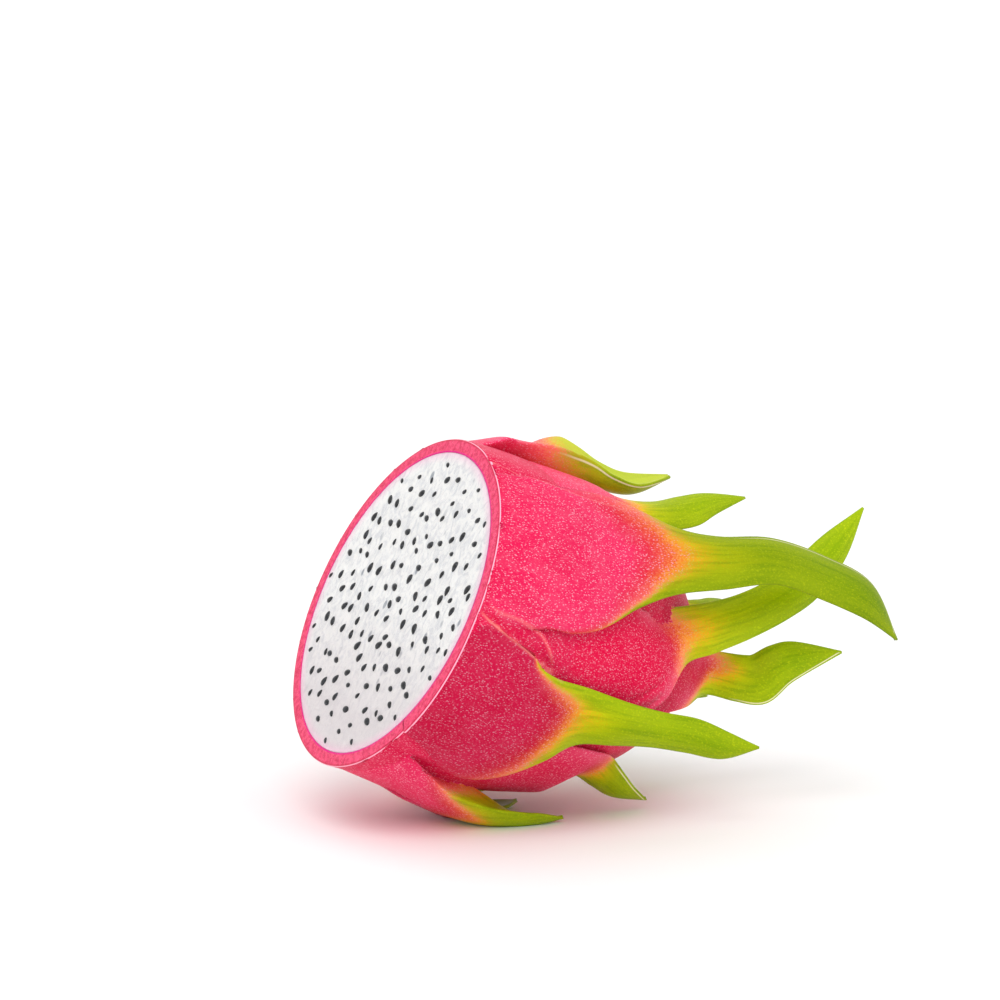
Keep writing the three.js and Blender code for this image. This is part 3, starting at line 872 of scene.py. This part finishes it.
def noiseAt(tree, place, detail=3.0, distortion=0.0):
    inputs = {"Vector": place, "Scale": 1.0, "Detail": detail, "Distortion": distortion}
    return add(tree, "ShaderNodeTexNoise", inputs).outputs["Fac"]


# Cloudy noise with clouds of about these sizes in mm along, across and up.
def noise(tree, stretch, detail=3.0, distortion=0.0):
    return noiseAt(tree, growing(tree, stretch), detail, distortion)


# Scattered spots, one to a cell of this size in mm: the distance from each spot's middle, and
# two draws that are the cell's own.
def spots(tree, stretch):
    cells = add(tree, "ShaderNodeTexVoronoi", {"Vector": growing(tree, stretch), "Scale": 1.0})
    own = add(tree, "ShaderNodeSeparateColor", {"Color": cells.outputs["Color"]})
    return cells.outputs["Distance"], own.outputs["Red"], own.outputs["Green"]


def finish(tree, shader, colour, look, height):
    tree.links.new(colour, shader.inputs["Base Color"])
    shader.inputs["Roughness"].default_value = look["roughness"]
    shader.inputs["Specular IOR Level"].default_value = look["gloss"]
    bump = add(tree, "ShaderNodeBump", {"Height": height, "Strength": 0.5, "Distance": look["bump"] * mm})
    tree.links.new(bump.outputs["Normal"], shader.inputs["Normal"])


# Pairs are where a value begins to show and where it is full. wander is how far broad, cloud and
# grain move the turn to green. Sizes of noise are in mm, and shares are of the colour laid over.
peelLook = dict(
    turnRange=0.9,
    stops=[(-0.9, (232, 24, 84)), (-0.3, (236, 44, 97)), (-0.17, (220, 46, 62)), (-0.08, (226, 88, 50)),
           (0.0, (240, 146, 44)), (0.07, (226, 176, 22)), (0.14, (192, 180, 8)), (0.22, (168, 178, 2)),
           (0.34, (144, 166, 0)), (0.6, (138, 166, 0)), (0.9, (116, 150, 0))],
    broad=(15, 11, 11), cloud=(5, 3.4, 3.4), grain=(0.55, 0.4, 0.4), wander=(0.16, 0.07, 0.16),
    green=(-0.05, 0.12), pink=(-0.22, -0.02),
    crimson=(208, 0, 60), patch=(0.62, 0.95), patchShare=0.3,
    pale=(255, 104, 142), paleGreen=(184, 198, 24), lip=(0.5, 7.0), raised=(0.35, 0.85), lipShare=0.42,
    darkGreen=(98, 134, 0), streaks=(7.0, 3.5), streak=(0.42, 0.7), outwards=(0.3, 1.0), veinShare=0.42,
    mottle=(0.4, 0.68), mottleShare=0.2, mottleDeep=0.16,
    speck=(0.8, 0.46, 0.46), speckSize=0.14, speckEdge=(0.12, 0.27), speckShare=0.66, speckDeep=0.26,
    speckGreen=0.4, pinkSpeck=(255, 178, 200), greenSpeck=(198, 210, 20),
    fine=(0.5, 0.75), fineShare=0.18, fineGreen=0.3,
    # foldHighlight is the colour of the painted highlight along the folds.
    innerGreen=(206, 216, 84), innerShare=0.7, foldHighlight=(255, 150, 140),
    cream=(240, 232, 190), creamLine=(0.06, 0.24), creamShare=0.85,
    roughness=0.42, gloss=0.07, bump=0.2, speckHeight=0.4, cloudHeight=1.2,
)


def peelMaterial():
    material, tree, shader = newMaterial("dragon fruit peel")
    look = peelLook
    edge, grow, across, deepness = (named(tree, name) for name in ("edge", "grow", "across", "deep"))
    broad = noise(tree, look["broad"])
    cloud = noise(tree, look["cloud"])
    grain = noise(tree, look["grain"], 2.0)
    turned = named(tree, "ripe")
    for field, amount in zip((broad, cloud, grain), look["wander"]):
        turned = plus(tree, turned, times(tree, less(tree, field, 0.5), amount))
    span = look["turnRange"]
    inputs = {"Value": turned, "From Min": -span, "From Max": span}
    share = add(tree, "ShaderNodeMapRange", inputs).outputs["Result"]
    stops = [((place + span) / (2 * span), screen(*colour)) for place, colour in look["stops"]]
    colour = ramp(tree, share, stops)
    green = slide(tree, turned, *look["green"])
    pink = fall(tree, turned, *look["pink"])
    # deep crimson in cloudy patches and on the deeper scales, partly painted shade on the lower
    # scales that face down; paler pink at the lips
    patch = slide(tree, plus(tree, broad, times(tree, cloud, 0.5)), *look["patch"])
    deep = calc(tree, "ADD", deepness, times(tree, patch, look["patchShare"]), clamp=True)
    colour = tint(tree, times(tree, deep, pink), colour, look["crimson"])
    lip = times(tree, fall(tree, edge, *look["lip"]), slide(tree, grow, *look["raised"]), look["lipShare"])
    paler = blend(tree, green, screen(*look["pale"]), screen(*look["paleGreen"]))
    colour = blend(tree, lip, colour, paler)
    # darker streaks along the blades
    wide, long = look["streaks"]
    blade = add(tree, "ShaderNodeCombineXYZ",
                {"X": times(tree, across, wide), "Y": times(tree, grow, long), "Z": named(tree, "owner")})
    streak = slide(tree, noiseAt(tree, blade.outputs[0]), *look["streak"])
    outwards = slide(tree, calc(tree, "ABSOLUTE", across), *look["outwards"])
    vein = times(tree, plus(tree, streak, times(tree, outwards, 0.5)), green, look["veinShare"])
    colour = tint(tree, vein, colour, look["darkGreen"])
    mottled = less(tree, look["mottleShare"], times(tree, deepness, look["mottleDeep"]))
    mottle = times(tree, slide(tree, cloud, *look["mottle"]), pink, mottled)
    colour = tint(tree, mottle, colour, look["pale"])
    # fine pale dashes along the fruit, each a little different
    away, own, _ = spots(tree, look["speck"])
    speck = fall(tree, less(tree, away, times(tree, own, look["speckSize"])), *look["speckEdge"])
    speckShare = less(tree, look["speckShare"], times(tree, deep, look["speckDeep"]))
    speckShare = less(tree, speckShare, times(tree, green, look["speckGreen"]))
    spotColour = blend(tree, green, screen(*look["pinkSpeck"]), screen(*look["greenSpeck"]))
    colour = blend(tree, times(tree, speck, speckShare), colour, spotColour)
    fineShare = plus(tree, look["fineShare"], times(tree, green, look["fineGreen"]))
    colour = blend(tree, times(tree, slide(tree, grain, *look["fine"]), fineShare), colour, spotColour)
    # the crest's light outside, the painted highlight along the folds and the cream lines of the blades
    light = times(tree, named(tree, "paler"), green, look["innerShare"])
    colour = tint(tree, light, colour, look["innerGreen"])
    colour = tint(tree, named(tree, "foldHighlight"), colour, look["foldHighlight"])
    line = fall(tree, calc(tree, "ABSOLUTE", named(tree, "inward")), *look["creamLine"])
    line = times(tree, line, named(tree, "lined"), look["creamShare"])
    colour = tint(tree, line, colour, look["cream"])
    # Painted light and shade: the colour is made lighter or darker by each scale's light mark.
    inputs = {0: colour, 1: named(tree, "light")}
    colour = add(tree, "ShaderNodeVectorMath", inputs, operation="MULTIPLY").outputs[0]
    height = plus(tree, times(tree, speck, look["speckHeight"]), times(tree, cloud, look["cloudHeight"]))
    finish(tree, shader, colour, look, height)
    return material


# Pairs are places on the ring, from 0 at the skin to 1 at the flesh.
ringLook = dict(
    flesh=(242, 76, 120), deep=(206, 28, 78), broad=(2.2, 1.2, 1.2), mottle=(0.3, 0.72),
    pore=(255, 150, 170), pores=(0.7, 0.5, 0.5), poreEdge=(0.12, 0.32), poreShare=0.45,
    outline=(200, 20, 60), outlinePlace=(0.1, 0.2), outlineShare=0.7,
    pale=(255, 176, 200), palePlace=(0.02, 0.06), inner=(228, 0, 132), innerPlace=(0.84, 0.94),
    roughness=0.38, gloss=0.2, bump=0.1,
)


def ringMaterial():
    material, tree, shader = newMaterial("cut peel")
    look = ringLook
    ring = named(tree, "ring")
    broad = noise(tree, look["broad"], 4.0)
    pore = fall(tree, spots(tree, look["pores"])[0], *look["poreEdge"])
    colour = blend(tree, slide(tree, broad, *look["mottle"]), screen(*look["flesh"]), screen(*look["deep"]))
    for share, over in (
            (times(tree, pore, look["poreShare"]), "pore"),
            (times(tree, fall(tree, ring, *look["outlinePlace"]), look["outlineShare"]), "outline"),
            (fall(tree, ring, *look["palePlace"]), "pale"),
            (slide(tree, ring, *look["innerPlace"]), "inner")):
        colour = tint(tree, share, colour, look[over])
    finish(tree, shader, colour, look, less(tree, 1.0, pore))
    return material


# Seeds that are still under the surface show as blue-grey spots.
fleshLook = dict(
    white=(244, 243, 240), thin=(212, 213, 216), soft=(4, 2.4, 3.4), softness=(0.3, 0.62),
    warm=(226, 210, 212), fibre=(1.5, 0.9, 1.8), warmth=(0.55, 0.8), warmShare=0.45,
    strand=(255, 255, 255), strandWidth=0.05, strandShare=0.6,
    sunkSeed=(112, 122, 136), sunkPlaces=(60, 4.6, 7.2), sunkSize=0.1, sunkEdge=(0.07, 0.17),
    sunkDepth=(0.3, 0.9), sunkShare=0.8,
    # low is painted shade, the grey that the cut face turns towards its bottom.
    low=(214, 204, 206), blush=(248, 190, 216), blushShare=0.75,
    roughness=0.3, gloss=0.5, bump=0.6, scatter=(1.0, 0.95, 0.92), scatterShare=0.3, scatterReach=1.0,
)


def fleshMaterial():
    material, tree, shader = newMaterial("white flesh")
    look = fleshLook
    soft = noise(tree, look["soft"], 4.0, 1.5)
    fibre = noise(tree, look["fibre"], 3.0, 3.0)
    strand = fall(tree, calc(tree, "ABSOLUTE", less(tree, fibre, 0.5)), 0.0, look["strandWidth"])
    away, own, depth = spots(tree, look["sunkPlaces"])
    sunk = fall(tree, less(tree, away, times(tree, own, look["sunkSize"])), *look["sunkEdge"])
    sunk = times(tree, sunk, slide(tree, depth, *look["sunkDepth"]), look["sunkShare"])
    colour = blend(tree, slide(tree, soft, *look["softness"]), screen(*look["thin"]), screen(*look["white"]))
    for share, over in (
            (times(tree, slide(tree, fibre, *look["warmth"]), look["warmShare"]), "warm"),
            (times(tree, strand, look["strandShare"]), "strand"),
            (sunk, "sunkSeed"),
            (named(tree, "low"), "low"),
            (times(tree, named(tree, "rim"), look["blushShare"]), "blush")):
        colour = tint(tree, share, colour, look[over])
    shader.inputs["Subsurface Weight"].default_value = look["scatterShare"]
    shader.inputs["Subsurface Radius"].default_value = look["scatter"]
    shader.inputs["Subsurface Scale"].default_value = look["scatterReach"] * mm
    finish(tree, shader, colour, look, plus(tree, times(tree, strand, 0.5), soft))
    return material


seedLook = dict(black=(14, 15, 18), grey=(44, 48, 56), mottle=(0.7, 0.7, 0.7), share=(0.45, 0.7),
                roughness=0.3)


def seedMaterial():
    material, tree, shader = newMaterial("black seeds")
    look = seedLook
    share = slide(tree, noise(tree, look["mottle"], 2.0), *look["share"])
    colour = blend(tree, share, screen(*look["black"]), screen(*look["grey"]))
    tree.links.new(colour, shader.inputs["Base Color"])
    shader.inputs["Roughness"].default_value = look["roughness"]
    return material


# Plain pale floor, and soft studio light that is even over all of it. floorReach is in metres
# and softness in degrees.
studio = dict(
    floorReach=20, floorShade=0.93, floorRoughness=0.8, surround=0.85,
    suns=dict(
        key=dict(comesFrom=(-0.45, -0.6, 0.9), power=1.2, softness=40),
        fill=dict(comesFrom=(0.8, -0.7, 0.35), power=0.3, softness=80),
        back=dict(comesFrom=(0.3, 0.9, 0.8), power=0.3, softness=60),
    ),
)


def makeStudio():
    mesh = bpy.data.meshes.new("floor")
    reach = studio["floorReach"]
    corners = [(x * reach, y * reach, 0) for x, y in ((-1, -1), (1, -1), (1, 1), (-1, 1))]
    mesh.from_pydata(corners, [], [[0, 1, 2, 3]])
    floor = bpy.data.objects.new("floor", mesh)
    bpy.context.scene.collection.objects.link(floor)
    material, _, shader = newMaterial("pale floor")
    shader.inputs["Base Color"].default_value = (studio["floorShade"],) * 3 + (1,)
    shader.inputs["Roughness"].default_value = studio["floorRoughness"]
    mesh.materials.append(material)
    world = bpy.data.worlds.new("studio")
    world.use_nodes = True
    world.node_tree.nodes["Background"].inputs["Color"].default_value = (1, 1, 1, 1)
    world.node_tree.nodes["Background"].inputs["Strength"].default_value = studio["surround"]
    bpy.context.scene.world = world
    for name, sun in studio["suns"].items():
        data = bpy.data.lights.new(name, "SUN")
        data.energy = sun["power"]
        data.angle = radians(sun["softness"])
        light = bpy.data.objects.new(name, data)
        light.rotation_euler = (-Vector(sun["comesFrom"])).to_track_quat("-Z", "Y").to_euler()
        bpy.context.scene.collection.objects.link(light)


# Gives a piece its materials, each face keeping the number of its own.
def dress(piece, materials):
    numbers = [polygon.material_index for polygon in piece.data.polygons]
    piece.data.materials.clear()
    for material in materials:
        piece.data.materials.append(material)
    piece.data.polygons.foreach_set("material_index", numbers)


peel = makePeel()
dress(peel, [peelMaterial(), ringMaterial()])
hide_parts("peel")
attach(peel, "root")
print("peel made", len(peel.data.polygons))

flesh = makeFlesh()
dress(flesh, [fleshMaterial()])
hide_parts("flesh")
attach(flesh, "root")
print("flesh made", len(flesh.data.polygons))

seeds = makeSeeds()
dress(seeds, [seedMaterial()])
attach(seeds, "root")
print("seeds made", len(seeds.data.polygons))

makeStudio()
bpy.context.scene.view_settings.view_transform = "Standard"
